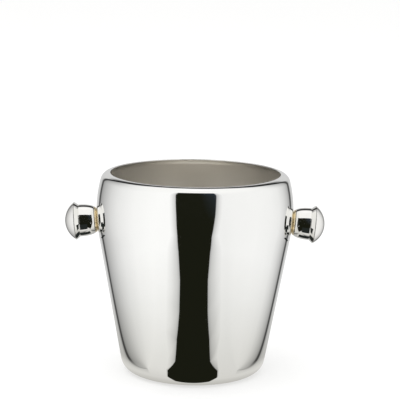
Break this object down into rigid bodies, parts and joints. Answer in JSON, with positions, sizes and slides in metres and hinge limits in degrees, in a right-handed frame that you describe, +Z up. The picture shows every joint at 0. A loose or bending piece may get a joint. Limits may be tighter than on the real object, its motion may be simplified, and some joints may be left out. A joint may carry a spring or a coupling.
{
  "type": "champagne bucket",
  "caption": "Polished steel champagne bucket: tapered pail with a rounded shoulder, turned-in rim and a domed knob bolted to each side.",
  "frame": {"origin": "centre of the base, on the surface that the bucket stands on", "axes": "+Z up along the pail's axis of revolution, +X through the two knobs, +Y horizontal and square to the knobs"},
  "size_m": [0.2508, 0.19, 0.195],
  "materials": {
    "polished_steel": "mirror polished stainless steel",
    "knob_steel": "polished plated steel, slightly warm",
    "plain_steel": "plain turned steel",
    "brass": "pale polished brass",
    "rubber": "matte black rubber"
  },
  "bodies": {
    "root": {"bucket_shell": "polished_steel", "left_knob_dome": "knob_steel", "left_knob_barrel": "knob_steel", "left_knob_core": "plain_steel", "left_neck_collar": "brass", "left_outer_seal": "rubber", "left_stud": "plain_steel", "left_inner_seal": "rubber", "left_backing_washer": "plain_steel", "left_lock_washer": "plain_steel", "left_acorn_nut": "plain_steel", "right_knob_dome": "knob_steel", "right_knob_barrel": "knob_steel", "right_knob_core": "plain_steel", "right_neck_collar": "brass", "right_outer_seal": "rubber", "right_stud": "plain_steel", "right_inner_seal": "rubber", "right_backing_washer": "plain_steel", "right_lock_washer": "plain_steel", "right_acorn_nut": "plain_steel"}
  },
  "joints": []
}
